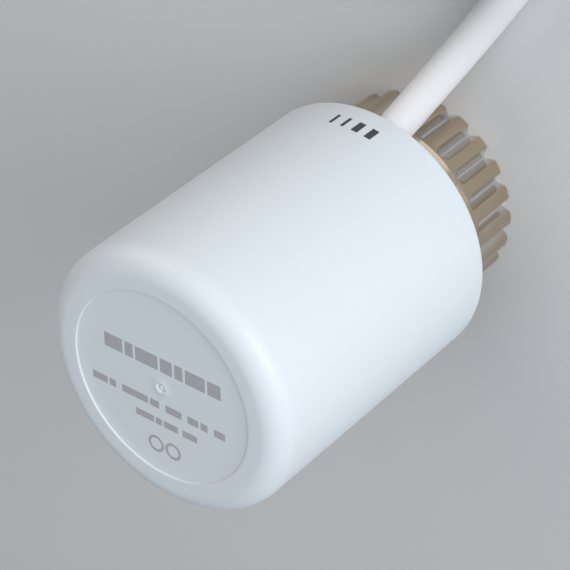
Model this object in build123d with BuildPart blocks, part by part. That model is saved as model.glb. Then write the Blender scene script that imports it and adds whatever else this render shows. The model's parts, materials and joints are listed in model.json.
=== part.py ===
"""Electro-thermal actuator head for a heating valve, standing on its union nut.

Frame: millimetres, +Z up along the actuator's axis, origin at the centre of the nut's mouth.
The supply cable leaves on the -Y side and lies on the plane z = 0.
"""
import os
from math import cos, degrees, pi, radians, sin, tan

from build123d import *

os.makedirs("parts", exist_ok=True)

# ---- driving dimensions -------------------------------------------------------------------------
COVER_R = 22.0            # outside radius at the rim
COVER_DRAFT = 0.15        # how much smaller the radius is at the closed end
COVER_WALL = 1.6
RIM_Z = 15.4              # lower edge of the cover
COVER_H = 50.4
TOP_Z = RIM_Z + COVER_H
TOP_EDGE_R = 3.75
RIM_EDGE_R = 0.6
LABEL_R = 16.0            # shallow disc in the closed end
LABEL_DEPTH = 0.25
GATE_DIMPLE_R = 1.0
GATE_NUB_R = 0.4

NUT_R = 17.05
NUT_H = 10.5
NUT_TOP_CHAMFER = 1.0
GROOVES = 23
GROOVE_DEPTH = 1.8
GROOVE_HALF_W = 1.0
GROOVE_TOP_Z = 9.0
GROOVE_PHASE = 7.9        # degrees from +X to the first groove
THREAD_R = 14.19          # minor radius of M30 x 1.5
THREAD_LEAD = 0.8         # lead-in chamfer at the mouth
THREAD_TOP = 5.8
RELIEF_R = THREAD_R + 0.5
NUT_WEB_Z = 8.1
NUT_WEB_HOLE_R = 12.35

NECK_R = 12.0
NECK_BORE_R = 10.2
SEAT_Z = 6.0
RING_Z0 = 6.4             # snap ring that keeps the nut on the neck
RING_Z1 = 7.6
RING_SEAT_R = NECK_R - 0.5
RING_R = 13.6
RING_HALF_ANGLE = 172
SHOULDER_R = 12.9
SHOULDER_Z = NUT_H + 0.4
FLOOR_Z0 = 16.2           # underside of the base plate
FLOOR_Z1 = 18.2
BASE_R = 20.1
SKIRT_R = 19.1
SKIRT_TOP = 24.0
LEDGE_Z = 24.8
ROOF_T = 1.8
ROOF_STEP = 2.4

TIP_Z = 7.5               # end of the tappet with the valve closed
TIP_R = 5.0
TAPPET_R = 9.8
TAPPET_Z0 = 9.5
TAPPET_Z1 = 11.5
LEG_R0 = 8.4
LEG_R1 = 9.8
LEG_HALF_ANGLE = 28.0
LEG_GAP = 0.35
FLANGE_Z0 = 22.6
FLANGE_Z1 = 24.4
FLANGE_R = 14.2
YOKE_TOP_Z0 = 43.5
YOKE_TOP_Z1 = 45.5

STACK_R = 7.6
INSULATOR_T = 0.5
TAB_R = 11.6              # reach of the contacts' soldering tabs
TAB_HALF_ANGLE = 9
CRIMP_T = 1.0
RETAINER_T = 1.6
PTC_R = 5.6
FOIL = 0.3                # thickness of the contact discs
LIVE_ANGLE = 220
NEUTRAL_ANGLE = 320
LEAD_R = 0.75
CAPSULE_Z = 21.0
CAPSULE_R = 6.5
CAPSULE_RIM_Z = 22.4      # top of the capsule's mounting flange
CAPSULE_TOP = 35.0
NOSE_R = 3.5
NOSE_TOP = 40.0
PISTON_R = 1.5
PISTON_FIT = 0.06
WAX_R = 5.2
WAX_Z = 22.3
WAX_TOP = 31.0

CAGE_R0 = 15.3
CAGE_R1 = 17.0
CAGE_FOOT_R = 18.4
CAGE_FOOT_TOP = 20.2
CAGE_PLATE_Z0 = 56.0
CAGE_PLATE_Z1 = 58.0
CAGE_LEGS = (90, 210, 330)
CAGE_LEG_HALF = 18.0
CAGE_WINDOW_TOP = 52.0
CAGE_HOLE_R = 5.0
CAGE_SCREW_R = 17.7
CAGE_SCREW_HOLE_R = 0.8

SPRING_R = 12.4
WIRE_R = 1.1
SPRING_TURNS = 7.0

CABLE_R = 2.85
CABLE_Y = -15.8
CABLE_TOP = 21.2
CABLE_Z = CABLE_R + 0.05  # height of the cable's middle where it lies on the floor
GROMMET_R = 3.2
CLAMP_T = 1.6
CLAMP_W = 10.6
CLAMP_D = 6.6
CLAMP_CORNER_R = 1.4
CLAMP_SCREW_X = 4.2
CLAMP_SCREW_R = 0.6
SCREW_HOLE_DEPTH = 1.6
SCREW_HEAD_H = 0.9
CORE_R = 1.1
CORE_LEN = 14.0
FERRULE_R = 0.75
FERRULE_LEN = 6.0

# The put-away cable: three turns side by side on the floor and nearly two more in their grooves.
COIL_X, COIL_Y = 14.75, -77.5
COIL_PITCH = 2 * CABLE_R + 0.05
COIL_MID_R = 31.0
COIL_TURNS = 4.52
COIL_OUT_R = COIL_MID_R + COIL_PITCH
COIL_RISE = 4.95          # from the floor turns up to the turns in their grooves
COIL_HEIGHT = 2 * CABLE_R + COIL_RISE
SHEATH_END = (180 + 360 * COIL_TURNS) % 360   # angle where the sheath is stripped
CORE_BED_Z = 5.4
CORE_SIDE = 1.75          # inner core's place outward from the coil's middle turn
CORE_PITCH = 2.25
TIE_ANGLE = 300.0
TIE_W = 4.6
TIE_T = 0.9
TIE_BED_Z = 0.7


# ---- helpers ------------------------------------------------------------------------------------
def turned(outline, mode=Mode.ADD):
    """Revolve a closed outline of (radius, height) points about the axis."""
    with BuildSketch(Plane.XZ) as profile:
        with BuildLine():
            Polyline(*outline, close=True)
        make_face()
    revolve(profile.sketch, axis=Axis.Z, mode=mode)


def ring(r0, r1, z0, z1, mode=Mode.ADD):
    """A plain ring, or a disc when r0 is 0."""
    turned([(r0, z0), (r1, z0), (r1, z1), (r0, z1)], mode)


def sector(r0, r1, z0, z1, middle, half, mode=Mode.ADD):
    """Part of a ring, centred on the angle middle and reaching half degrees each way."""
    with BuildSketch(Plane.XY.offset(z0)) as profile:
        with BuildLine():
            outer = CenterArc((0, 0), r1, middle - half, 2 * half)
            inner = CenterArc((0, 0), r0, middle - half, 2 * half)
            Line(outer @ 0, inner @ 0)
            Line(outer @ 1, inner @ 1)
        make_face()
    extrude(profile.sketch, amount=z1 - z0, mode=mode)


def tube_along(path, radius, mode=Mode.ADD):
    """A round bar swept along a path."""
    with BuildSketch(Plane(origin=path @ 0, z_dir=path % 0)) as section:
        Circle(radius)
    sweep(section.sketch, path=path, mode=mode)


def fillet_radii(points):
    """One arc radius for each corner of a route: 0.45 of the shorter run over tan(half turn)."""
    radii = []
    for before, here, after in zip(points, points[1:], points[2:]):
        run_in = Vector(*here) - Vector(*before)
        run_out = Vector(*after) - Vector(*here)
        half_turn = radians(run_in.get_angle(run_out) / 2)
        radii.append(0.45 * min(run_in.length, run_out.length) / tan(half_turn))
    return radii


def route_wire(points):
    """Straight runs joined by tangent arcs."""
    with BuildLine(mode=Mode.PRIVATE) as line:
        FilletPolyline(*points, radius=fillet_radii(points))
    return line.wires()[0]


def finish(builder, name):
    """Label a finished piece and write it."""
    builder.part.label = name
    export_step(builder.part, f"parts/{name}.step")


def polar(radius, angle, z):
    return (radius * cos(radians(angle)), radius * sin(radians(angle)), z)


# ---- cable route --------------------------------------------------------------------------------
# Down through the base plate, out between rim and nut, onto the floor, then round into the coil.
ROUTE = [
    (0.0, CABLE_Y, CABLE_TOP),
    (0.0, CABLE_Y, 15.0),
    (-3.3, -24.8, 7.0),
    (-7.4, -34.2, CABLE_Z),
    (-13.3, -46.5, CABLE_Z),
    (-18.9, -57.5, CABLE_Z),
    (-21.8, -70.0, CABLE_Z),
    (COIL_X - COIL_OUT_R, -79.0, CABLE_Z),
]
cable_wire = route_wire(ROUTE)
entry_wire = route_wire(ROUTE[:3])

# ---- cover --------------------------------------------------------------------------------------
with BuildPart() as outer_cover:
    turned([(0, RIM_Z), (COVER_R, RIM_Z), (COVER_R - COVER_DRAFT, TOP_Z), (0, TOP_Z)])
    rings = outer_cover.edges().filter_by(GeomType.CIRCLE)
    fillet(rings.group_by(Axis.Z)[-1], TOP_EDGE_R)
    rings = outer_cover.edges().filter_by(GeomType.CIRCLE)
    fillet(rings.group_by(Axis.Z)[0], RIM_EDGE_R)
    inside = COVER_R - COVER_WALL
    upper = inside - 0.8
    roof = TOP_Z - ROOF_T
    hollow = [(0, RIM_Z), (inside, RIM_Z), (inside, LEDGE_Z), (upper, LEDGE_Z)]
    hollow += [(upper - 0.3, roof - ROOF_STEP), (upper - ROOF_STEP, roof), (0, roof)]
    turned(hollow, Mode.SUBTRACT)
    ring(0, LABEL_R, TOP_Z - LABEL_DEPTH, TOP_Z + LABEL_DEPTH, Mode.SUBTRACT)
    ring(0, GATE_DIMPLE_R, TOP_Z - 2 * LABEL_DEPTH, TOP_Z, Mode.SUBTRACT)
    ring(0, GATE_NUB_R, TOP_Z - ROOF_T / 2, TOP_Z - LABEL_DEPTH)
finish(outer_cover, "outer_cover")

# ---- union nut ----------------------------------------------------------------------------------
with BuildPart() as union_nut:
    body = [(THREAD_R + THREAD_LEAD, 0), (NUT_R - 0.5, 0), (NUT_R, 0.5), (NUT_R, NUT_H - NUT_TOP_CHAMFER)]
    body += [(NUT_R - NUT_TOP_CHAMFER, NUT_H), (NUT_WEB_HOLE_R, NUT_H), (NUT_WEB_HOLE_R, NUT_WEB_Z)]
    body += [(RELIEF_R, NUT_WEB_Z), (RELIEF_R, THREAD_TOP), (THREAD_R, THREAD_TOP)]
    body += [(THREAD_R, THREAD_LEAD)]
    turned(body)
    with BuildSketch(Plane.XY) as grooves:
        with PolarLocations(NUT_R + 0.2, GROOVES, start_angle=GROOVE_PHASE):
            Ellipse(GROOVE_DEPTH + 0.2, GROOVE_HALF_W)
    extrude(grooves.sketch, amount=GROOVE_TOP_Z, mode=Mode.SUBTRACT)
finish(union_nut, "union_nut")

# ---- base housing -------------------------------------------------------------------------------
with BuildPart() as base_housing:
    section_pts = [(NECK_BORE_R, SEAT_Z), (NECK_R, SEAT_Z), (NECK_R, RING_Z0), (RING_SEAT_R, RING_Z0)]
    section_pts += [(RING_SEAT_R, RING_Z1), (NECK_R, RING_Z1), (NECK_R, SHOULDER_Z)]
    section_pts += [(SHOULDER_R, SHOULDER_Z), (SHOULDER_R, FLOOR_Z0), (BASE_R, FLOOR_Z0)]
    section_pts += [(BASE_R, SKIRT_TOP), (SKIRT_R, SKIRT_TOP), (SKIRT_R, FLOOR_Z1), (0, FLOOR_Z1)]
    section_pts += [(0, FLOOR_Z0), (NECK_BORE_R, FLOOR_Z0)]
    turned(section_pts)
    for side in (90, 270):
        slot_r0 = LEG_R0 - LEG_GAP
        slot_r1 = LEG_R1 + LEG_GAP
        sector(slot_r0, slot_r1, FLOOR_Z0 - 1, FLOOR_Z1 + 1, side, LEG_HALF_ANGLE + 3, Mode.SUBTRACT)
    tube_along(entry_wire, GROMMET_R, Mode.SUBTRACT)
    with Locations(*[polar(CAGE_SCREW_R, angle, FLOOR_Z1) for angle in CAGE_LEGS]):
        Hole(CAGE_SCREW_HOLE_R, depth=SCREW_HOLE_DEPTH)
    with Locations(*[(x, CABLE_Y, FLOOR_Z1) for x in (CLAMP_SCREW_X, -CLAMP_SCREW_X)]):
        Hole(CLAMP_SCREW_R, depth=SCREW_HOLE_DEPTH)
finish(base_housing, "base_housing")

with BuildPart() as nut_retaining_ring:
    sector(RING_SEAT_R, RING_R, RING_Z0, RING_Z1, 90, RING_HALF_ANGLE)
finish(nut_retaining_ring, "nut_retaining_ring")

with BuildPart() as cover_seal:
    ring(SKIRT_R + 0.1, BASE_R + 0.1, SKIRT_TOP, LEDGE_Z)
finish(cover_seal, "cover_seal")

# ---- cable entry --------------------------------------------------------------------------------
with BuildPart() as cable_grommet:
    tube_along(entry_wire, GROMMET_R)
    tube_along(entry_wire, CABLE_R, Mode.SUBTRACT)
    split(bisect_by=Plane.XY.offset(FLOOR_Z1), keep=Keep.BOTTOM)
    split(bisect_by=Plane.XY.offset(FLOOR_Z0 - 0.3), keep=Keep.TOP)
finish(cable_grommet, "cable_grommet")

with BuildPart() as cable_clamp:
    with Locations((0, CABLE_Y + 0.6, FLOOR_Z1)):
        Box(CLAMP_W, CLAMP_D, CLAMP_T, align=(Align.CENTER, Align.CENTER, Align.MIN))
    fillet(cable_clamp.edges().filter_by(Axis.Z), CLAMP_CORNER_R)
    with Locations((0, CABLE_Y, FLOOR_Z1 + CLAMP_T)):
        Hole(CABLE_R)
    with Locations(*[(x, CABLE_Y, FLOOR_Z1 + CLAMP_T) for x in (CLAMP_SCREW_X, -CLAMP_SCREW_X)]):
        Hole(CLAMP_SCREW_R)
finish(cable_clamp, "cable_clamp")


def screws(places, radius, head_r, top_z, depth):
    """Small pan-head screws with a cross recess, heads standing on top_z."""
    for place in places:
        with Locations((place[0], place[1], top_z)):
            Cylinder(head_r, SCREW_HEAD_H, align=(Align.CENTER, Align.CENTER, Align.MIN))
        with Locations((place[0], place[1], top_z - depth)):
            Cylinder(radius, depth, align=(Align.CENTER, Align.CENTER, Align.MIN))
        with Locations((place[0], place[1], top_z + SCREW_HEAD_H)):
            Box(1.2 * head_r, 0.3, 0.8, mode=Mode.SUBTRACT)
            Box(0.3, 1.2 * head_r, 0.8, mode=Mode.SUBTRACT)


with BuildPart() as clamp_screws:
    clamp_holes = [(CLAMP_SCREW_X, CABLE_Y), (-CLAMP_SCREW_X, CABLE_Y)]
    screws(clamp_holes, CLAMP_SCREW_R, 1.1, FLOOR_Z1 + CLAMP_T, CLAMP_T + 1.4)
finish(clamp_screws, "clamp_screws")

# ---- inner cage ---------------------------------------------------------------------------------
with BuildPart() as inner_cage:
    ring(CAGE_R0, CAGE_R1, FLOOR_Z1, CAGE_PLATE_Z1)
    ring(CAGE_R0, CAGE_FOOT_R, FLOOR_Z1, CAGE_FOOT_TOP)
    ring(CAGE_HOLE_R, CAGE_R1, CAGE_PLATE_Z0, CAGE_PLATE_Z1)
    window_half = 60 - CAGE_LEG_HALF
    for leg in CAGE_LEGS:
        sector(CAGE_R0 - 1, CAGE_R1 + 1, CAGE_FOOT_TOP, CAGE_WINDOW_TOP, leg + 60, window_half, Mode.SUBTRACT)
    with Locations((0, -18, CAGE_FOOT_TOP)):
        Box(12.4, 8, 8, mode=Mode.SUBTRACT)
    with Locations(*[polar(CAGE_SCREW_R, angle, CAGE_FOOT_TOP) for angle in CAGE_LEGS]):
        Hole(CAGE_SCREW_HOLE_R, depth=2.5)
    with Locations(*[polar(CAGE_SCREW_R + 0.2, angle, CAGE_FOOT_TOP + 0.5) for angle in CAGE_LEGS]):
        Cylinder(1.6, 1.0, mode=Mode.SUBTRACT)
finish(inner_cage, "inner_cage")

with BuildPart() as cage_screws:
    cage_holes = [polar(CAGE_SCREW_R, angle, 0)[:2] for angle in CAGE_LEGS]
    screws(cage_holes, CAGE_SCREW_HOLE_R - 0.05, 1.2, CAGE_FOOT_TOP, 3.4)
finish(cage_screws, "cage_screws")

# ---- heater and wax element ---------------------------------------------------------------------
with BuildPart() as insulating_disc:
    ring(0, STACK_R, FLOOR_Z1, FLOOR_Z1 + INSULATOR_T)
finish(insulating_disc, "insulating_disc")


def contact(z0, tab_angle):
    """A thin contact disc with one soldering tab."""
    ring(0, STACK_R - 0.4, z0, z0 + FOIL)
    sector(STACK_R - 1.0, TAB_R, z0, z0 + FOIL, tab_angle, TAB_HALF_ANGLE)


LOWER_Z = FLOOR_Z1 + INSULATOR_T
UPPER_Z = CAPSULE_Z - FOIL
with BuildPart() as lower_contact:
    contact(LOWER_Z, LIVE_ANGLE)
finish(lower_contact, "lower_contact")

with BuildPart() as ptc_heater:
    ring(0, PTC_R, LOWER_Z + FOIL, UPPER_Z)
finish(ptc_heater, "ptc_heater")

with BuildPart() as upper_contact:
    contact(UPPER_Z, NEUTRAL_ANGLE)
finish(upper_contact, "upper_contact")

with BuildPart() as wax_capsule:
    shell = [(0, CAPSULE_Z), (STACK_R - 0.1, CAPSULE_Z), (STACK_R - 0.1, CAPSULE_RIM_Z)]
    shell += [(CAPSULE_R, CAPSULE_RIM_Z), (CAPSULE_R, CAPSULE_TOP), (NOSE_R, CAPSULE_TOP), (NOSE_R, NOSE_TOP)]
    shell += [(PISTON_R + PISTON_FIT, NOSE_TOP), (PISTON_R + PISTON_FIT, CAPSULE_TOP - 1)]
    shell += [(WAX_R, CAPSULE_TOP - 2), (WAX_R, WAX_Z), (0, WAX_Z)]
    turned(shell)
finish(wax_capsule, "wax_capsule")

with BuildPart() as wax_charge:
    ring(0, WAX_R, WAX_Z, WAX_TOP)
finish(wax_charge, "wax_charge")

with BuildPart() as rubber_plug:
    plug_taper = [(0, WAX_TOP), (WAX_R, WAX_TOP), (WAX_R, CAPSULE_TOP - 2)]
    plug_taper += [(PISTON_R + PISTON_FIT, CAPSULE_TOP - 1), (0, CAPSULE_TOP - 1)]
    turned(plug_taper)
finish(rubber_plug, "rubber_plug")

with BuildPart() as capsule_retainer:
    retainer_top = CAPSULE_RIM_Z + RETAINER_T
    ring(CAPSULE_R + 0.1, STACK_R + 0.2, CAPSULE_RIM_Z, retainer_top)
    for side in (0, 180):
        sector(STACK_R, STACK_R + RETAINER_T, FLOOR_Z1, retainer_top, side, 17)
finish(capsule_retainer, "capsule_retainer")

# ---- inner leads --------------------------------------------------------------------------------
def lead_route(side, tab_angle, end_z):
    """From the cable's end, round outside the yoke's flange, and down to a contact tab."""
    return [
        (side * 1.35, CABLE_Y - 0.2, CABLE_TOP),
        (side * 1.35, CABLE_Y - 0.2, CABLE_TOP + 2.8),
        (side * 7.0, -14.5, CABLE_TOP + 1.4),
        polar(14.1, tab_angle + side * 5, end_z + 0.5),
        polar(11.4, tab_angle, end_z),
    ]


def lead(side, tab_angle, end_z):
    tube_along(route_wire(lead_route(side, tab_angle, end_z)), LEAD_R)


with BuildPart() as lead_live:
    lead(-1, LIVE_ANGLE, LOWER_Z + FOIL + LEAD_R + 0.05)
finish(lead_live, "lead_live")

with BuildPart() as lead_neutral:
    lead(1, NEUTRAL_ANGLE, UPPER_Z - LEAD_R - 0.05)
finish(lead_neutral, "lead_neutral")

with BuildPart() as crimp_terminals:
    sector(TAB_R - 1.4, TAB_R + 1.3, LOWER_Z + FOIL, LOWER_Z + FOIL + CRIMP_T, LIVE_ANGLE, 5)
    sector(TAB_R - 1.4, TAB_R + 1.3, UPPER_Z - CRIMP_T, UPPER_Z, NEUTRAL_ANGLE, 5)
finish(crimp_terminals, "crimp_terminals")

# ---- moving group -------------------------------------------------------------------------------
with BuildPart() as tappet:
    outline = [(0, TIP_Z), (TIP_R - 0.5, TIP_Z), (TIP_R, TIP_Z + 0.5), (TIP_R, TAPPET_Z0)]
    outline += [(TAPPET_R, TAPPET_Z0), (TAPPET_R, TAPPET_Z1), (0, TAPPET_Z1)]
    turned(outline)
finish(tappet, "tappet")

with BuildPart() as lifting_yoke:
    for side in (90, 270):
        sector(LEG_R0, LEG_R1, TAPPET_Z1, YOKE_TOP_Z1, side, LEG_HALF_ANGLE)
    ring(LEG_R1 - 0.1, FLANGE_R, FLANGE_Z0, FLANGE_Z1)
    ring(0, LEG_R1, YOKE_TOP_Z0, YOKE_TOP_Z1)
finish(lifting_yoke, "lifting_yoke")

with BuildPart() as wax_piston:
    ring(0, PISTON_R, CAPSULE_TOP - 1, YOKE_TOP_Z0)
finish(wax_piston, "wax_piston")

with BuildPart() as closing_spring:
    low = FLANGE_Z1 + WIRE_R
    height = CAGE_PLATE_Z0 - WIRE_R - low
    with BuildLine() as coil_line:
        Helix(pitch=height / SPRING_TURNS, height=height, radius=SPRING_R, center=(0, 0, low))
    with BuildSketch(Plane(origin=coil_line.line @ 0, z_dir=coil_line.line % 0)):
        Circle(WIRE_R)
    sweep(path=coil_line.line, is_frenet=True)
finish(closing_spring, "closing_spring")

# ---- supply cable -------------------------------------------------------------------------------
with BuildPart() as supply_cable:
    tube_along(cable_wire, CABLE_R)
finish(supply_cable, "supply_cable")


def coil_outline(grow, floor):
    """Outline of the coil's section as (radius, height), grown by grow and cut off at floor."""
    low_in = COIL_MID_R - COIL_PITCH - CABLE_R - grow
    low_out = COIL_OUT_R + CABLE_R + grow
    shoulder = 1.4 * CABLE_R
    half_top = COIL_PITCH / 2 + CABLE_R + grow
    top = COIL_HEIGHT + grow
    return [
        (low_in, floor),
        (low_out, floor),
        (low_out, shoulder),
        (COIL_MID_R + half_top, top),
        (COIL_MID_R - half_top, top),
        (low_in, shoulder),
    ]


def coil_plane(angle):
    """The radial plane of the coil at an angle, x outward and y up."""
    return Plane(origin=(COIL_X, COIL_Y, 0), x_dir=polar(1, angle, 0), z_dir=polar(1, angle - 90, 0))


coil_axis = Axis((COIL_X, COIL_Y, 0), (0, 0, 1))
with BuildPart() as cable_coil:
    with BuildSketch(coil_plane(0)) as section:
        with BuildLine():
            Polyline(*coil_outline(0, 0), close=True)
        make_face()
        fillet(section.vertices(), 0.9)
    revolve(section.sketch, axis=coil_axis)
    # The bed beyond the sheath's end, where the bare cores lie.
    bed = 360 * (CORE_LEN + FERRULE_LEN) / (2 * pi * COIL_MID_R)
    with BuildSketch(coil_plane(SHEATH_END)) as bed_section:
        with Locations((COIL_MID_R + CORE_SIDE - CORE_R - 0.1, CORE_BED_Z)):
            Rectangle(9, 9, align=(Align.MIN, Align.MIN))
    revolve(bed_section.sketch, axis=coil_axis, revolution_arc=bed, mode=Mode.SUBTRACT)
finish(cable_coil, "cable_coil")


def coil_bar(bar_r, radius, start_mm, end_mm):
    """A round bar lying along the coil beyond the sheath's end, between two distances from it."""
    start = SHEATH_END + 360 * start_mm / (2 * pi * bar_r)
    sweep_angle = 360 * (end_mm - start_mm) / (2 * pi * bar_r)
    with BuildSketch(coil_plane(start)) as bar_section:
        with Locations((bar_r, CORE_BED_Z + CORE_R + 0.05)):
            Circle(radius)
    revolve(bar_section.sketch, axis=coil_axis, revolution_arc=sweep_angle)


core_radii = (COIL_MID_R + CORE_SIDE, COIL_MID_R + CORE_SIDE + CORE_PITCH)
with BuildPart() as core_brown:
    coil_bar(core_radii[0], CORE_R, 0, CORE_LEN)
finish(core_brown, "core_brown")

with BuildPart() as core_blue:
    coil_bar(core_radii[1], CORE_R, 0, CORE_LEN)
finish(core_blue, "core_blue")

with BuildPart() as wire_ferrules:
    for bar_r in core_radii:
        coil_bar(bar_r, FERRULE_R, CORE_LEN, CORE_LEN + FERRULE_LEN - 0.5)
finish(wire_ferrules, "wire_ferrules")

with BuildPart() as cable_tie:
    tie_half = degrees(TIE_W / 2 / COIL_MID_R)
    with BuildSketch(coil_plane(TIE_ANGLE - tie_half)) as strap:
        with BuildLine():
            Polyline(*coil_outline(TIE_T, 0), close=True)
        make_face()
        with BuildLine():
            Polyline(*coil_outline(0, TIE_BED_Z), close=True)
        make_face(mode=Mode.SUBTRACT)
    revolve(strap.sketch, axis=coil_axis, revolution_arc=2 * tie_half)
finish(cable_tie, "cable_tie")

# ---- figures ------------------------------------------------------------------------------------
coil_length = COIL_TURNS * 2 * pi * COIL_MID_R
volume_ratio = supply_cable.part.volume / (pi * CABLE_R**2 * cable_wire.length)
print("cable arc radii", [round(r, 1) for r in fillet_radii(ROUTE)])
print("tube's volume over its section times its length", round(volume_ratio, 4))
print("whole cable", round(cable_wire.length + coil_length, 1))
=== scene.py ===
"""Looks of the electro-thermal actuator head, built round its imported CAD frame.

Metres, +Z up along the actuator's axis, origin at the centre of the union nut's mouth.
"""
import json
from math import cos, pi, radians, sin, sqrt, tau

import bmesh
import bpy
from mathutils import Matrix, Vector


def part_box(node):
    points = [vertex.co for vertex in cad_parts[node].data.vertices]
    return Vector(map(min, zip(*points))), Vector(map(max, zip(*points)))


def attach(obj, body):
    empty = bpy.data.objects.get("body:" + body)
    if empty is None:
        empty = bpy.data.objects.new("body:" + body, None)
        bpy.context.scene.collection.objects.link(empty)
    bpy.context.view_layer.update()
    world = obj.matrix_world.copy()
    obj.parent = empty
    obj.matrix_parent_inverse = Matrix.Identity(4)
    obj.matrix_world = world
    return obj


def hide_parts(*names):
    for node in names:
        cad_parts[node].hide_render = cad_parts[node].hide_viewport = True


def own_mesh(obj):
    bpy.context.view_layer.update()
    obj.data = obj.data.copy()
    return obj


MM = 0.001
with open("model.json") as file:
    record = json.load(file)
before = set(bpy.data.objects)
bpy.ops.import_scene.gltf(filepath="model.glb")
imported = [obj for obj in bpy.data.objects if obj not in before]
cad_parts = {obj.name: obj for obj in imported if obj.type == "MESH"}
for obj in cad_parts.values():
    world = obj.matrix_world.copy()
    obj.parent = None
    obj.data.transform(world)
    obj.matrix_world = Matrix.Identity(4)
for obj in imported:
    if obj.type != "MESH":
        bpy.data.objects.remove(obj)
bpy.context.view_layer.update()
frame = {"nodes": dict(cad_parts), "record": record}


# ---- camera -------------------------------------------------------------------------------------
AIM = (0.0007, -0.0005, 0.03563)
DISTANCE = 0.3331
AZIMUTH = 55.57           # heading of the line of sight, from +X
ELEVATION = 39.75         # how far it looks down
ROLL = -127.54            # turns the closed end of the cover to the lower left
LENS = 138.95


def add_camera():
    """A long lens on the cover's middle."""
    a, e, r = radians(AZIMUTH), radians(ELEVATION), radians(ROLL)
    forward = Vector((cos(e) * cos(a), cos(e) * sin(a), -sin(e)))
    level = forward.cross(Vector((0, 0, 1))).normalized()
    right = level * cos(r) + level.cross(forward) * sin(r)
    up = right.cross(forward)
    turn = Matrix((right, up, -forward)).transposed().to_4x4()
    data = bpy.data.cameras.new("camera")
    data.lens = LENS
    data.clip_start = 0.01
    camera = bpy.data.objects.new("camera", data)
    camera.matrix_world = Matrix.Translation(Vector(AIM) - forward * DISTANCE) @ turn
    bpy.context.scene.collection.objects.link(camera)
    bpy.context.scene.camera = camera


add_camera()


# ---- small helpers ------------------------------------------------------------------------------
def clamp(x, low=0.0, high=1.0):
    return min(max(x, low), high)


def ease(x, start, end):
    """0 before start, 1 after end, and a smooth step between."""
    t = clamp((x - start) / (end - start))
    return t * t * (3 - 2 * t)


def bump_between(x, start, end):
    """A smooth hump from 0 to 1 to 0."""
    return sin(pi * clamp((x - start) / (end - start))) ** 2


def link(obj):
    bpy.context.scene.collection.objects.link(obj)
    return obj


def mesh_object(name, points, faces, sharp=35):
    """A mesh with smooth faces and edges kept crisp where they turn by more than sharp degrees."""
    data = bpy.data.meshes.new(name)
    data.from_pydata([tuple(p) for p in points], [], faces)
    data.update()
    tidy = bmesh.new()
    tidy.from_mesh(data)
    bmesh.ops.remove_doubles(tidy, verts=tidy.verts, dist=1e-7)
    bmesh.ops.recalc_face_normals(tidy, faces=tidy.faces)
    tidy.to_mesh(data)
    tidy.free()
    data.polygons.foreach_set("use_smooth", [True] * len(data.polygons))
    data.set_sharp_from_angle(angle=radians(sharp))
    return link(bpy.data.objects.new(name, data))


def grid_faces(rows, columns, close_rows=False, close_columns=True):
    """Quads of a grid of points stored row by row."""
    faces = []
    for i in range(rows if close_rows else rows - 1):
        for j in range(columns if close_columns else columns - 1):
            a, b = i * columns + j, i * columns + (j + 1) % columns
            c, d = (i + 1) % rows * columns + (j + 1) % columns, (i + 1) % rows * columns + j
            faces.append((a, b, c, d))
    return faces


def corner_arc(x, z, radius, start, end, steps=6):
    """Points of a rounding in a lathe outline, from angle start to end in degrees."""
    angles = [radians(start + (end - start) * k / steps) for k in range(steps + 1)]
    return [(x + radius * cos(t), z + radius * sin(t)) for t in angles]


def lathe(name, outline, segments=160, closed=True, sharp=35):
    """A turned solid from (radius, height) points. A closed outline is a ring."""
    points = []
    for r, z in outline:
        for k in range(segments):
            points.append((r * cos(tau * k / segments), r * sin(tau * k / segments), z))
    faces = grid_faces(len(outline), segments, close_rows=closed)
    return mesh_object(name, points, faces, sharp)


# ---- supply cable -------------------------------------------------------------------------------
CABLE_R = 0.00285
CABLE_Z = 0.0029          # middle of the cable where it lies on the floor
COIL_X, COIL_Y = 0.01475, -0.0775
COIL_PITCH = 0.00575
COIL_MID_R = 0.0310
COIL_RISE = 0.00495
COIL_TURNS = 4.52
COIL_STEPS = 48           # control points in each turn
COIL_HUMP = 0.0009        # extra height where one turn crosses another
# parts of a turn over which the cable does something, as shares of that turn
LANE_SHIFT = (0.74, 0.90)  # moves to the next lane
CLIMB = (0.66, 0.80)       # climbs to the upper layer
SETTLE = (0.86, 0.98)      # moves over between two strands of the lower layer
CROSSING = (0.79, 0.99)    # crosses the strand below on the way
TOP_SHIFT = (0.60, 0.72)   # moves to the upper layer's second lane

ROUTE = [
    (0.0, -0.0158, 0.0212),
    (0.0, -0.0158, 0.0188),
    (0.0, -0.0158, 0.01635),
    (-0.0004, -0.01685, 0.01405),
    (-0.0033, -0.0248, 0.0070),
    (-0.0074, -0.0342, CABLE_Z),
    (-0.0133, -0.0465, CABLE_Z),
    (-0.0189, -0.0575, CABLE_Z),
    (-0.0209, -0.0680, CABLE_Z),
]
FLOOR_LANES = [COIL_MID_R + COIL_PITCH, COIL_MID_R, COIL_MID_R - COIL_PITCH]
TOP_IN, TOP_OUT = COIL_MID_R - COIL_PITCH / 2, COIL_MID_R + COIL_PITCH / 2


def coil_lane(turns):
    """Radius and height of the cable's middle after so many turns, counted from where it joins."""
    lane = int(turns)
    part = turns - lane
    shift = ease(part, *LANE_SHIFT)
    high = CABLE_Z + COIL_RISE
    if lane < 2:
        return FLOOR_LANES[lane] - COIL_PITCH * shift, CABLE_Z
    if lane == 2:
        radius = FLOOR_LANES[2] + (TOP_IN - FLOOR_LANES[2]) * ease(part, *SETTLE)
        climb = COIL_RISE * ease(part, *CLIMB)
        return radius, CABLE_Z + climb + COIL_HUMP * bump_between(part, *CROSSING)
    if lane == 3:
        radius = TOP_IN + COIL_PITCH * ease(part, *TOP_SHIFT)
        humps = bump_between(part, *TOP_SHIFT) + bump_between(part, *LANE_SHIFT)
        return radius, high + COIL_HUMP * humps
    return TOP_OUT, high


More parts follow.
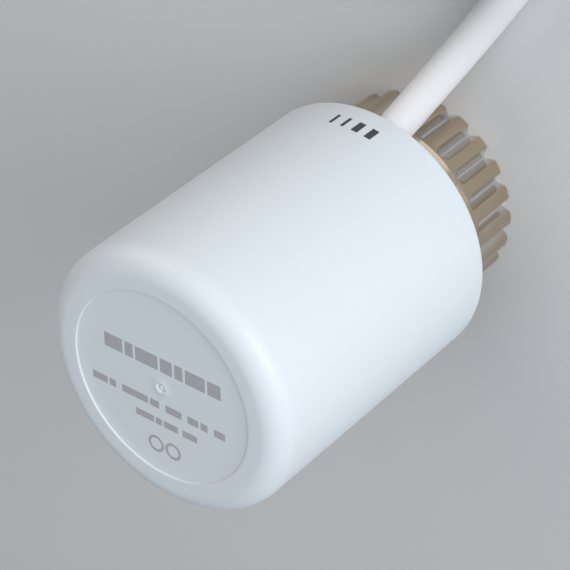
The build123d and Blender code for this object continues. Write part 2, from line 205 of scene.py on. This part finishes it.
def cable_points():
    """The route, then the coil's turns, wound anticlockwise from its -X side."""
    points = list(ROUTE)
    shrink = cos(pi / COIL_STEPS)   # a quadratic spline passes inside its points by this much
    for k in range(round(COIL_TURNS * COIL_STEPS) + 1):
        turns = min(k / COIL_STEPS, COIL_TURNS)
        radius, height = coil_lane(turns)
        angle = pi + tau * turns
        x = COIL_X + radius / shrink * cos(angle)
        points.append((x, COIL_Y + radius / shrink * sin(angle), height))
    return points


def nurbs_tube(name, points, radius):
    """A round tube along a smooth quadratic spline of its points."""
    curve = bpy.data.curves.new(name, "CURVE")
    curve.dimensions = "3D"
    spline = curve.splines.new("NURBS")
    spline.points.add(len(points) - 1)
    for point, place in zip(spline.points, points):
        point.co = (*place, 1.0)
        point.radius = radius
    spline.order_u = 3        # quadratic
    spline.use_endpoint_u = True
    spline.use_smooth = True
    curve.resolution_u = 8
    curve.bevel_depth = 1.0   # times each point's radius
    curve.bevel_resolution = 7
    curve.use_fill_caps = True
    return link(bpy.data.objects.new(name, curve))


cable = nurbs_tube("cable_sheath", cable_points(), CABLE_R)
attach(cable, "housing")
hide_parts("supply_cable", "cable_coil")


# ---- cable tie ----------------------------------------------------------------------------------
TIE_ANGLE = 300            # where it holds the coil, degrees from +X
TIE_TILT = 32              # how far its head leans up, degrees
TIE_W, TIE_T = 0.0044, 0.0008
TIE_GAP = 0.00002          # between strap and cable
TIE_LIFT = 0.0006          # the strap's inner face over the floor
TIE_EDGE = 0.86            # share of the width that the outer face keeps
TIE_STEPS = 72
HEAD_OUT, HEAD_Z = 0.0006, 0.0094
HEAD_SIZE, HEAD_ROUND = (0.0026, 0.0066, 0.0052), 0.0005
TIP_ALONG, TIP_UP = 0.0052, 0.0001
TIP_SIZE, TIP_ROUND = (0.0009, 0.0042, 0.0060), 0.0003


def tie_outline(grow, lowest):
    """Rounded band round the coil's strands: support points of the strands' circles, grown."""
    strands = [(r, CABLE_Z) for r in FLOOR_LANES]
    strands += [(r, CABLE_Z + COIL_RISE) for r in (TOP_IN, TOP_OUT)]
    reach = CABLE_R + grow
    outline = []
    for k in range(TIE_STEPS):
        x, z = cos(tau * k / TIE_STEPS), sin(tau * k / TIE_STEPS)
        r0, z0 = max(strands, key=lambda strand: strand[0] * x + strand[1] * z)
        outline.append((r0 + reach * x, max(z0 + reach * z, lowest)))
    return outline


def add_tie():
    """A nylon strap, its ratchet head on the outer shoulder, and the trimmed end."""
    inner, outer = tie_outline(TIE_GAP, TIE_LIFT), tie_outline(TIE_T, 0.0)
    centre = Vector((COIL_X, COIL_Y, 0))
    out = Vector((cos(radians(TIE_ANGLE)), sin(radians(TIE_ANGLE)), 0))
    side = Vector((-out.y, out.x, 0))
    half = TIE_W / 2
    section = [(inner, -half), (inner, half), (outer, half * TIE_EDGE), (outer, -half * TIE_EDGE)]
    points = []
    for loop, shift in section:
        for r, z in loop:
            points.append(centre + out * r + side * shift + Vector((0, 0, z)))
    strap = mesh_object("tie_strap", points, grid_faces(4, len(inner), close_rows=True), 40)
    head_at = centre + out * (COIL_MID_R + COIL_PITCH + HEAD_OUT) + Vector((0, 0, HEAD_Z))
    tilt = out * cos(radians(TIE_TILT)) + Vector((0, 0, sin(radians(TIE_TILT))))
    along = tilt.cross(side)
    axes = (tilt, side, along)
    head = rounded_block("tie_head", head_at, axes, HEAD_SIZE, HEAD_ROUND)
    tip_at = head_at + along * TIP_ALONG + tilt * TIP_UP
    tip = rounded_block("tie_tip", tip_at, axes, TIP_SIZE, TIP_ROUND)
    return [strap, head, tip]


def rounded_block(name, centre, axes, size, radius):
    """A box with bevelled edges, built along three given axes."""
    block = bmesh.new()
    bmesh.ops.create_cube(block, size=1.0)
    for vert in block.verts:
        steps = [axis * (share * length) for axis, share, length in zip(axes, vert.co, size)]
        vert.co = centre + sum(steps, Vector())
    bmesh.ops.bevel(
        block, geom=block.edges[:], offset=radius, segments=3, profile=0.5, affect="EDGES"
    )
    bmesh.ops.recalc_face_normals(block, faces=block.faces)
    data = bpy.data.meshes.new(name)
    block.to_mesh(data)
    block.free()
    data.polygons.foreach_set("use_smooth", [True] * len(data.polygons))
    data.set_sharp_from_angle(angle=radians(50))
    return link(bpy.data.objects.new(name, data))


tie_pieces = add_tie()
for piece in tie_pieces:
    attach(piece, "housing")
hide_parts("cable_tie")


# ---- cover --------------------------------------------------------------------------------------
cover_low, cover_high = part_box("outer_cover")
COVER_R = cover_high[0]
RIM_Z, TOP_Z = cover_low[2], cover_high[2]
DRAFT = 0.15 * MM
WALL = 1.6 * MM
RIM_ROUND = 0.6 * MM
RIM_BEVEL = 0.3 * MM
SIDE_STEPS = 12
TOP_EDGE_R = 3.75 * MM
LABEL_R = 16.0 * MM
LABEL_DEPTH = 0.25 * MM
LABEL_MARGIN = 0.6 * MM    # flat ring round the label disc
LABEL_LIP = 0.12 * MM      # roundings at the disc's edge, outer and inner
LABEL_FOOT = 0.10 * MM
LABEL_RINGS = (13, 9, 5)   # plain rings across the disc, mm
GATE_MARK = (              # radius and height over the disc, mm
    (2.2, 0.0),
    (1.15, 0.0),
    (1.0, 0.07),
    (0.8, 0.02),
    (0.66, -0.20),
    (0.4, -0.22),
    (0.3, -0.06),
    (0.18, 0.01),
    (0.0, 0.02),
)
ROOF = 1.8 * MM
ROOF_CORNER = (3.2 * MM, 1.1 * MM, 2.4 * MM)  # inside corner: its two insets and its height
LEDGE_Z = 24.8 * MM        # step inside, where the base snaps in
LEDGE_W = 0.8 * MM


def add_cover():
    """The moulded cover: soft top edge, shallow label disc with a fine lip and a gate mark."""
    r_top = COVER_R - DRAFT
    inner_r = COVER_R - WALL
    side_z = RIM_Z + 1 * MM
    side_h = TOP_Z - TOP_EDGE_R - RIM_Z - 2 * MM
    label_z = TOP_Z - LABEL_DEPTH
    outline = [(inner_r, RIM_Z + RIM_BEVEL), (inner_r + RIM_BEVEL, RIM_Z)]
    outline += corner_arc(COVER_R - RIM_ROUND, RIM_Z + RIM_ROUND, RIM_ROUND, -90, 0, 8)
    for k in range(1, SIDE_STEPS):
        outline.append((COVER_R - DRAFT * k / SIDE_STEPS, side_z + side_h * k / SIDE_STEPS))
    outline += corner_arc(r_top - TOP_EDGE_R, TOP_Z - TOP_EDGE_R, TOP_EDGE_R, 0, 90, 24)
    outline.append((LABEL_R + LABEL_MARGIN, TOP_Z))
    outline += corner_arc(LABEL_R + LABEL_LIP, TOP_Z - LABEL_LIP, LABEL_LIP, 90, 180, 5)
    outline += corner_arc(LABEL_R - LABEL_FOOT, label_z + LABEL_FOOT, LABEL_FOOT, 0, -90, 4)
    outline += [(r * MM, label_z) for r in LABEL_RINGS]
    outline += [(r * MM, label_z + height * MM) for r, height in GATE_MARK]
    roof = TOP_Z - ROOF
    far, near, drop = ROOF_CORNER
    outline += [(0.0, roof), (inner_r - far, roof), (inner_r - near, roof - drop)]
    outline += [(inner_r - LEDGE_W, LEDGE_Z), (inner_r, LEDGE_Z)]
    return lathe("cover_shell", outline, 224)


cover = add_cover()
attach(cover, "housing")
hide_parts("outer_cover")


# ---- printing: plain bars and marks where the real one has words ---------------------------------
TEXT_HEADING = -174.3      # direction in which the rows run, in degrees from +X
INK_T = 0.012 * MM         # how far the ink stands over the plastic, and reaches into it
# start, baseline, height, gap and widths of each row, mm; a negative width is a space
ROWS = (
    (-10.4, 3.0, 2.5, 0.45, (3.4, 1.5, 4.2, 2.2, 1.5, 3.6, 2.4)),
    (-13.1, -4.1, 1.3, 0.4, (2.8, 1.2, -0.8, 4.9, 1.7, -0.8, 3.0, -0.7, 2.0, 1.3, -0.8, 2.0)),
    (-5.0, -7.1, 1.2, 0.35, (3.4, 1.2, 2.6, -0.5, 2.7)),
)
RING_PLACES = ((-1.4, -11.0), (1.8, -11.0))
RING_R, RING_HALF_W = 1.25, 0.22
RING_STEPS = 40
SIDE_HEADING = 275.8       # middle of the side bars, degrees from +X
SIDE_Z = 20.4
SIDE_BARS = ((-4.1, 1.15), (-1.7, 1.15), (0.6, 0.55), (2.7, 0.55))  # middle and width, mm
SIDE_BAR_H = 2.6


def add_patches(name, patches, place, steps=1):
    """Thin closed patches of ink. A patch is (u, v, width, height), and place maps (u, v, lift)."""
    points, faces = [], []
    for u, v, width, height in patches:
        base = len(points)
        corners = ((v, -INK_T), (v, INK_T), (v + height, INK_T), (v + height, -INK_T))
        for k in range(steps + 1):
            points += [place(u + width * k / steps, edge, lift) for edge, lift in corners]
        for k in range(steps):
            for j in range(4):
                a, b = base + 4 * k + j, base + 4 * k + (j + 1) % 4
                faces.append((a, b, b + 4, a + 4))
        faces.append(tuple(base + j for j in (3, 2, 1, 0)))
        faces.append(tuple(base + 4 * steps + j for j in range(4)))
    return mesh_object(name, points, faces, 20)


def on_label(u, v, lift):
    """A place on the label disc: u along the rows, v up the page, both in millimetres."""
    run = Vector((cos(radians(TEXT_HEADING)), sin(radians(TEXT_HEADING)), 0))
    page_up = Vector((-run.y, run.x, 0))
    return run * (u * MM) + page_up * (v * MM) + Vector((0, 0, TOP_Z - LABEL_DEPTH + lift))


def bars(start, baseline, height, gap, widths):
    """A row of bars on one baseline."""
    row, u = [], start
    for width in widths:
        if width > 0:
            row.append((u, baseline, width, height))
            u += width + gap
        else:
            u -= width
    return row


def label_patches():
    return [bar for row in ROWS for bar in bars(*row)]


def add_label_rings():
    """Two small plain rings under the rows."""
    points, faces = [], []
    loops = [
        (RING_R - RING_HALF_W, -INK_T),
        (RING_R - RING_HALF_W, INK_T),
        (RING_R + RING_HALF_W, -INK_T),
        (RING_R + RING_HALF_W, INK_T),
    ]
    for centre_u, centre_v in RING_PLACES:
        base = len(points)
        for radius, lift in loops:
            for k in range(RING_STEPS):
                u = centre_u + radius * cos(tau * k / RING_STEPS)
                points.append(on_label(u, centre_v + radius * sin(tau * k / RING_STEPS), lift))
        order = (0, 1, 3, 2)
        for k in range(RING_STEPS):
            after = (k + 1) % RING_STEPS
            for j in range(4):
                a, b = base + order[j] * RING_STEPS, base + order[(j + 1) % 4] * RING_STEPS
                faces.append((a + k, b + k, b + after, a + after))
    return mesh_object("label_rings", points, faces, 20)


def on_side(u, v, lift):
    """A place on the cover's side near the rim: u round it from the bars' middle, v up, mm."""
    height = SIDE_Z + v
    radius = COVER_R + lift - DRAFT * (height * MM - RIM_Z) / (TOP_Z - RIM_Z)
    angle = radians(SIDE_HEADING) + u * MM / COVER_R
    return Vector((radius * cos(angle), radius * sin(angle), height * MM))


def code_patches():
    """Four plain upright bars, two broad and two narrow."""
    return [(middle - width / 2, -SIDE_BAR_H / 2, width, SIDE_BAR_H) for middle, width in SIDE_BARS]


prints = [
    (add_patches("label_rows", label_patches(), on_label), "label_ink"),
    (add_label_rings(), "label_ink"),
    (add_patches("side_code", code_patches(), on_side, steps=4), "code_ink"),
]
for piece, ink in prints:
    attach(piece, "housing")


# ---- union nut ----------------------------------------------------------------------------------
NUT_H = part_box("union_nut")[1][2]
NUT_R = 17.05 * MM
GROOVES = 23
GROOVE_PHASE = 7.9         # degrees from +X to a groove
GROOVE_DEPTH = 1.8 * MM
GROOVE_HALF = 1.5 * MM
GROOVE_STRAIGHT = 7.7 * MM  # where the straight part of a groove ends
GROOVE_RUN_OUT = 2.0 * MM
TOOTH_ROUND = 1.0 * MM      # how far a tooth's middle would stand out past a groove's middle
CROWN_TOP = NUT_H - 1.0 * MM  # over this height the nut is plain and round
MOUTH_R = 15.05 * MM        # inner edge of the mouth's flat face
MOUTH_RINGS = (15.5 * MM, 16.1 * MM)
MOUTH_ROUND = 0.5 * MM
MOUTH_TURNS = (0, 0.3, 0.6, 0.9, 1.25)  # angles round the mouth's rounding
TOP_CHAMFER = 0.7 * MM
THREAD_MINOR = 14.19 * MM
THREAD_DEPTH = 0.62 * MM
THREAD_PITCH = 1.5 * MM
THREAD_LOW, THREAD_TOP = 0.8 * MM, 5.8 * MM
THREAD_STEPS = 40
RELIEF_R, RELIEF_Z = 14.69 * MM, 6.1 * MM   # plain groove over the thread
WEB_Z = 8.1 * MM            # underside of the web, which the retaining ring below it catches
WEB_R = 12.35 * MM          # its hole
WEB_BEVEL = 0.15 * MM


def groove_cut(offset, z):
    """Depth of the knurl at offset metres round from a groove's middle: soft edges, scooped end."""
    half_pitch = pi * NUT_R / GROOVES
    fade = 1 - ease(z, GROOVE_STRAIGHT, CROWN_TOP)
    crown = TOOTH_ROUND * fade * clamp(1 - abs(offset) / half_pitch) ** 2
    along = clamp((z - GROOVE_STRAIGHT) / GROOVE_RUN_OUT, 0, 2)
    reach = min(1.0, sqrt((offset / GROOVE_HALF) ** 2 + along ** 2))
    dug = 0.5 + 0.5 * cos(pi * reach)
    return crown + (GROOVE_DEPTH - crown) * dug


def thread_cut(angle, z):
    """Depth of the female thread's groove at an angle and height, running out at both ends."""
    phase = (z / THREAD_PITCH - angle / tau) % 1.0
    wave = clamp(1.25 - abs(phase - 0.5) * 3.4)   # flat crests and roots, sloping flanks
    run_in = ease(z, THREAD_LOW - 0.1 * MM, THREAD_LOW + 0.3 * MM)
    run_out = ease(z, THREAD_TOP - 0.5 * MM, THREAD_TOP)
    return THREAD_DEPTH * wave * run_in * (1 - run_out)


def nut_columns():
    """Angles round the nut, each with its distance from the nearest groove's middle."""
    half_pitch = pi * NUT_R / GROOVES
    offsets = [GROOVE_HALF * s / 11 for s in range(12)]
    offsets += [GROOVE_HALF + (half_pitch - GROOVE_HALF) * s / 4 for s in range(1, 5)]
    across = [-x for x in reversed(offsets[1:-1])] + offsets
    columns = []
    for k in range(GROOVES):
        middle = radians(GROOVE_PHASE) + tau * k / GROOVES
        columns += [(middle + x / NUT_R, x) for x in across]
    return columns


def nut_rings():
    """Radius, height and kind of each ring of the nut, up the outside and down the bore."""
    rings = [(MOUTH_R, 0.0, "plain")] + [(r, 0.0, "outer") for r in MOUTH_RINGS]
    for t in MOUTH_TURNS:
        rings.append((NUT_R - MOUTH_ROUND * (1 - sin(t)), MOUTH_ROUND * (1 - cos(t)), "outer"))
    straight, scoop = 12, 24
    step = (GROOVE_STRAIGHT - MOUTH_ROUND) / straight
    rings += [(NUT_R, MOUTH_ROUND + step * k, "outer") for k in range(straight + 1)]
    step = (GROOVE_RUN_OUT + 0.05 * MM) / scoop
    rings += [(NUT_R, GROOVE_STRAIGHT + step * k, "outer") for k in range(1, scoop + 1)]
    rings += [(NUT_R, NUT_H - TOP_CHAMFER, "plain"), (NUT_R - TOP_CHAMFER, NUT_H, "plain")]
    rings += [(WEB_R + WEB_BEVEL, NUT_H, "plain"), (WEB_R, NUT_H - WEB_BEVEL, "plain")]
    rings += [(WEB_R, WEB_Z + WEB_BEVEL, "plain"), (WEB_R + WEB_BEVEL, WEB_Z, "plain")]
    rings += [(RELIEF_R, WEB_Z, "plain"), (RELIEF_R, RELIEF_Z, "plain")]
    rings.append((THREAD_MINOR + 0.1 * MM, THREAD_TOP, "plain"))
    step = (THREAD_TOP - THREAD_LOW) / THREAD_STEPS
    rings += [(THREAD_MINOR, THREAD_TOP - step * k, "thread") for k in range(THREAD_STEPS + 1)]
    return rings


def add_nut():
    """The knurled union nut: grooves round the outside, a helical thread inside, a web on top."""
    columns, rings = nut_columns(), nut_rings()
    points = []
    for radius, z, kind in rings:
        for angle, offset in columns:
            r = radius
            if kind == "outer":
                r = min(radius, NUT_R - groove_cut(offset, z))
            elif kind == "thread":
                r = radius + thread_cut(angle, z)
            points.append((r * cos(angle), r * sin(angle), z))
    faces = grid_faces(len(rings), len(columns), close_rows=True)
    return mesh_object("nut_body", points, faces, 32)


nut = add_nut()
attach(nut, "nut")
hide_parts("union_nut")


# ---- closing spring -----------------------------------------------------------------------------
spring_low, spring_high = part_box("closing_spring")
WIRE_R = 1.1 * MM
SPRING_TURNS = 7.0
CLOSED_TURNS = 0.9         # turns at each end that lie on their neighbour
CLOSED_PITCH = 2.3 * MM
SPRING_STEPS, WIRE_SIDES = 280, 14


def add_spring():
    """Round wire wound with closed end turns, between the yoke's flange and the cage's roof."""
    coil_r = spring_high[0] - WIRE_R
    spare = spring_high[2] - spring_low[2] - 2 * WIRE_R - CLOSED_PITCH * SPRING_TURNS
    points = []
    for k in range(SPRING_STEPS + 1):
        turns = SPRING_TURNS * k / SPRING_STEPS
        opened = ease(turns, CLOSED_TURNS, SPRING_TURNS - CLOSED_TURNS)
        rise = CLOSED_PITCH * turns + spare * opened
        out = Vector((cos(tau * turns), sin(tau * turns), 0))
        middle = out * coil_r + Vector((0, 0, spring_low[2] + WIRE_R + rise))
        for j in range(WIRE_SIDES):
            side = tau * j / WIRE_SIDES
            points.append(middle + out * (WIRE_R * cos(side)) + Vector((0, 0, WIRE_R * sin(side))))
    faces = grid_faces(SPRING_STEPS + 1, WIRE_SIDES)
    last = SPRING_STEPS * WIRE_SIDES
    faces += [tuple(range(WIRE_SIDES)), tuple(range(last, last + WIRE_SIDES))]
    return mesh_object("spring_wire", points, faces)


spring = add_spring()
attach(spring, "lifter")
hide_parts("closing_spring")
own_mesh(spring)


# ---- materials ----------------------------------------------------------------------------------
NOISE_LOW, NOISE_HIGH = 0.3, 0.7   # the span that most of a noise texture's values lie in
SLOW_DETAIL, FINE_DETAIL = 3.0, 4.0
RELIEF_H = 0.00005
# painted reflection: the grey that the nut's grooves reflect, painted into their colour
GROOVE_REFLECTION_GREY = (0.72, 0.70, 0.69, 1.0)
REFLECTION_FULL_R = NUT_R - 1.5 * MM          # painted reflection: the plating is painted all grey within this radius
REFLECTION_NONE_R = NUT_R - 0.2 * MM          # and keeps its own warm colour, with no painted grey, outside this one


def tinted(colour, factor):
    return tuple(clamp(c * factor) for c in colour[:3]) + (1.0,)


def surface(
    name, colour, rough, metallic=0.0, drift=0.04, drift_scale=90.0, grain=0.05,
    grain_scale=2600.0, bump=0.08, stretch=(1, 1, 1), **sockets
):
    """A procedural finish: slow colour drift, finer roughness grain and a fine relief."""
    material = bpy.data.materials.new(name)
    material.use_nodes = True
    nodes, links = material.node_tree.nodes, material.node_tree.links
    shader = nodes["Principled BSDF"]
    shader.inputs["Metallic"].default_value = metallic
    for socket, value in sockets.items():
        shader.inputs[socket.replace("_", " ")].default_value = value
    where = nodes.new("ShaderNodeTexCoord")
    place = nodes.new("ShaderNodeMapping")
    place.inputs["Scale"].default_value = stretch
    links.new(where.outputs["Object"], place.inputs["Vector"])

    def noise(scale, detail):
        node = nodes.new("ShaderNodeTexNoise")
        node.inputs["Scale"].default_value = scale
        node.inputs["Detail"].default_value = detail
        links.new(place.outputs["Vector"], node.inputs["Vector"])
        return node.outputs["Fac"]

    slow, fine = noise(drift_scale, SLOW_DETAIL), noise(grain_scale, FINE_DETAIL)
    tint = nodes.new("ShaderNodeMix")
    tint.data_type = "RGBA"
    tint.inputs["A"].default_value = tinted(colour, 1 - drift)
    tint.inputs["B"].default_value = tinted(colour, 1 + drift)
    links.new(slow, tint.inputs["Factor"])
    links.new(tint.outputs["Result"], shader.inputs["Base Color"])
    spread = nodes.new("ShaderNodeMapRange")
    spread.inputs["From Min"].default_value = NOISE_LOW
    spread.inputs["From Max"].default_value = NOISE_HIGH
    spread.inputs["To Min"].default_value = clamp(rough - grain)
    spread.inputs["To Max"].default_value = clamp(rough + grain)
    links.new(fine, spread.inputs["Value"])
    links.new(spread.outputs["Result"], shader.inputs["Roughness"])
    relief = nodes.new("ShaderNodeBump")
    relief.inputs["Strength"].default_value = bump
    relief.inputs["Distance"].default_value = RELIEF_H
    links.new(fine, relief.inputs["Height"])
    links.new(relief.outputs["Normal"], shader.inputs["Normal"])
    return material


FINISHES = {
    "cover_plastic": dict(
        colour=(0.80, 0.85, 0.90), rough=0.42, drift=0.012, bump=0.05, grain_scale=5200.0
    ),
    "base_plastic": dict(colour=(0.74, 0.77, 0.80), rough=0.5, drift=0.03),
    "nickel_brass": dict(
        colour=(0.60, 0.485, 0.365), rough=0.16, metallic=1.0, drift=0.06, grain=0.04, bump=0.015
    ),
    "spring_steel": dict(colour=(0.52, 0.52, 0.53), rough=0.32, metallic=1.0, drift=0.08),
    "seal_rubber": dict(colour=(0.72, 0.73, 0.74), rough=0.75, drift=0.08, bump=0.2),
    "screw_steel": dict(colour=(0.66, 0.66, 0.67), rough=0.28, metallic=1.0, drift=0.06),
    "cage_plastic": dict(colour=(0.62, 0.64, 0.66), rough=0.55, drift=0.05, bump=0.15),
    "insulator": dict(colour=(0.70, 0.62, 0.44), rough=0.6, drift=0.15, drift_scale=400.0),
    "contact_brass": dict(colour=(0.78, 0.60, 0.30), rough=0.3, metallic=1.0, drift=0.08),
    "ceramic": dict(colour=(0.26, 0.25, 0.25), rough=0.7, drift=0.1, bump=0.3),
    "capsule_brass": dict(colour=(0.74, 0.56, 0.28), rough=0.26, metallic=1.0, drift=0.07),
    "wax": dict(colour=(0.84, 0.78, 0.62), rough=0.5, drift=0.06),
    "core_brown": dict(colour=(0.16, 0.065, 0.03), rough=0.38, drift=0.08),
    "core_blue": dict(colour=(0.03, 0.13, 0.45), rough=0.38, drift=0.08),
    "tinned_metal": dict(colour=(0.72, 0.72, 0.70), rough=0.25, metallic=1.0, drift=0.08),
    "cable_sheath": dict(
        colour=(0.86, 0.85, 0.86), rough=0.46, drift=0.015, bump=0.06, grain_scale=4200.0
    ),
    "tie_plastic": dict(colour=(0.80, 0.79, 0.74), rough=0.35, drift=0.03),
    "tappet_plastic": dict(colour=(0.045, 0.046, 0.05), rough=0.5, drift=0.2, bump=0.2),
    "yoke_plastic": dict(colour=(0.34, 0.35, 0.37), rough=0.5, drift=0.1, bump=0.2),
    "label_ink": dict(colour=(0.475, 0.48, 0.505), rough=0.5, drift=0.10, drift_scale=900.0),
    "code_ink": dict(colour=(0.06, 0.065, 0.075), rough=0.55, drift=0.25, drift_scale=1500.0),
}
finishes = {slot: surface(slot, **values) for slot, values in FINISHES.items()}


def paint_groove_reflection(material):
    """The nut's plating: warm on the teeth, with a grey reflection painted down in the grooves."""
    nodes, links = material.node_tree.nodes, material.node_tree.links
    shader = nodes["Principled BSDF"]
    warm = shader.inputs["Base Color"].links[0].from_socket
    where = nodes.new("ShaderNodeTexCoord")
    flat = nodes.new("ShaderNodeVectorMath")
    flat.operation = "MULTIPLY"
    flat.inputs[1].default_value = (1.0, 1.0, 0.0)
    links.new(where.outputs["Object"], flat.inputs[0])
    radius = nodes.new("ShaderNodeVectorMath")
    radius.operation = "LENGTH"
    links.new(flat.outputs["Vector"], radius.inputs[0])
    depth = nodes.new("ShaderNodeMapRange")
    depth.inputs["From Min"].default_value = REFLECTION_FULL_R
    depth.inputs["From Max"].default_value = REFLECTION_NONE_R
    links.new(radius.outputs["Value"], depth.inputs["Value"])
    mix = nodes.new("ShaderNodeMix")
    mix.data_type = "RGBA"
    mix.inputs["A"].default_value = GROOVE_REFLECTION_GREY
    links.new(depth.outputs["Result"], mix.inputs["Factor"])
    links.new(warm, mix.inputs["B"])
    links.new(mix.outputs["Result"], shader.inputs["Base Color"])


# paints the grooves' reflected grey into the nut's colour
paint_groove_reflection(finishes["nickel_brass"])


def dress(obj, slot):
    """Give every face of a piece the finish of its slot."""
    obj.data.materials.clear()
    obj.data.materials.append(finishes[slot])


for part in frame["record"]["subparts"]:
    node = frame["nodes"].get(part["node"])
    if node is not None:
        for material_slot in node.material_slots:
            material_slot.link = "OBJECT"
            material_slot.material = finishes[part["material_slot"]]
dress(cable, "cable_sheath")
dress(cover, "cover_plastic")
dress(nut, "nickel_brass")
dress(spring, "spring_steel")
for piece in tie_pieces:
    dress(piece, "tie_plastic")
for piece, ink in prints:
    dress(piece, ink)


# ---- floor and light ----------------------------------------------------------------------------
FLOOR_REACH, FLOOR_Z = 1.6, -0.05 * MM
FLOOR_GREY = (0.72, 0.72, 0.72)
LIT_Z = 0.035                      # height of the actuator's middle, which the lights face
WORLD_STRENGTH = 0.52
BRIGHT_SIDE = (-0.86, 0.30, 0.42)
DIM_END = (0.12, (0.20, 0.17, 0.14, 1.0))      # place on the ramp, and colour
BRIGHT_END = (0.85, (0.86, 0.93, 1.0, 1.0))


def add_floor():
    corners = ((-1, -1), (1, -1), (1, 1), (-1, 1))
    points = [(FLOOR_REACH * x, FLOOR_REACH * y, FLOOR_Z) for x, y in corners]
    floor = mesh_object("floor", points, [(0, 1, 2, 3)])
    material = surface("floor_card", FLOOR_GREY, 0.75, drift=0.01, bump=0.0)
    floor.data.materials.append(material)


def add_area(name, direction, distance, size, power, colour):
    """A soft square light that faces the actuator's middle. Direction: azimuth, elevation."""
    a, e = radians(direction[0]), radians(direction[1])
    toward = Vector((cos(e) * cos(a), cos(e) * sin(a), sin(e)))
    data = bpy.data.lights.new(name, "AREA")
    data.shape = "SQUARE"
    data.size = size
    data.energy = power
    data.color = colour
    lamp = bpy.data.objects.new(name, data)
    lamp.location = Vector((0, 0, LIT_Z)) + toward * distance
    lamp.rotation_euler = toward.to_track_quat("Z", "Y").to_euler()
    link(lamp)


def add_world():
    """Pale surroundings that are brighter towards the window side, -X, and dim opposite it."""
    world = bpy.data.worlds.new("studio")
    bpy.context.scene.world = world
    world.use_nodes = True
    nodes, links = world.node_tree.nodes, world.node_tree.links
    background = nodes["Background"]
    background.inputs["Strength"].default_value = WORLD_STRENGTH
    where = nodes.new("ShaderNodeTexCoord")
    along = nodes.new("ShaderNodeVectorMath")
    along.operation = "DOT_PRODUCT"
    along.inputs[1].default_value = BRIGHT_SIDE
    links.new(where.outputs["Generated"], along.inputs[0])
    ramp = nodes.new("ShaderNodeMapRange")
    ramp.inputs["From Min"].default_value = -1.0
    ramp.inputs["From Max"].default_value = 1.0
    links.new(along.outputs["Value"], ramp.inputs["Value"])
    shades = nodes.new("ShaderNodeValToRGB")
    for stop, (position, colour) in zip(shades.color_ramp.elements, (DIM_END, BRIGHT_END)):
        stop.position, stop.color = position, colour
    links.new(ramp.outputs["Result"], shades.inputs["Fac"])
    links.new(shades.outputs["Color"], background.inputs["Color"])


add_floor()
add_world()
add_area("key", (212, 18), 0.7, 0.42, 2.7, (0.95, 0.98, 1.0))
add_area("fill", (262, 50), 0.9, 0.7, 1.2, (0.95, 0.98, 1.0))
add_area("warm", (322, 16), 0.9, 0.6, 1.9, (1.0, 0.93, 0.84))
bpy.context.scene.view_settings.view_transform = "Standard"
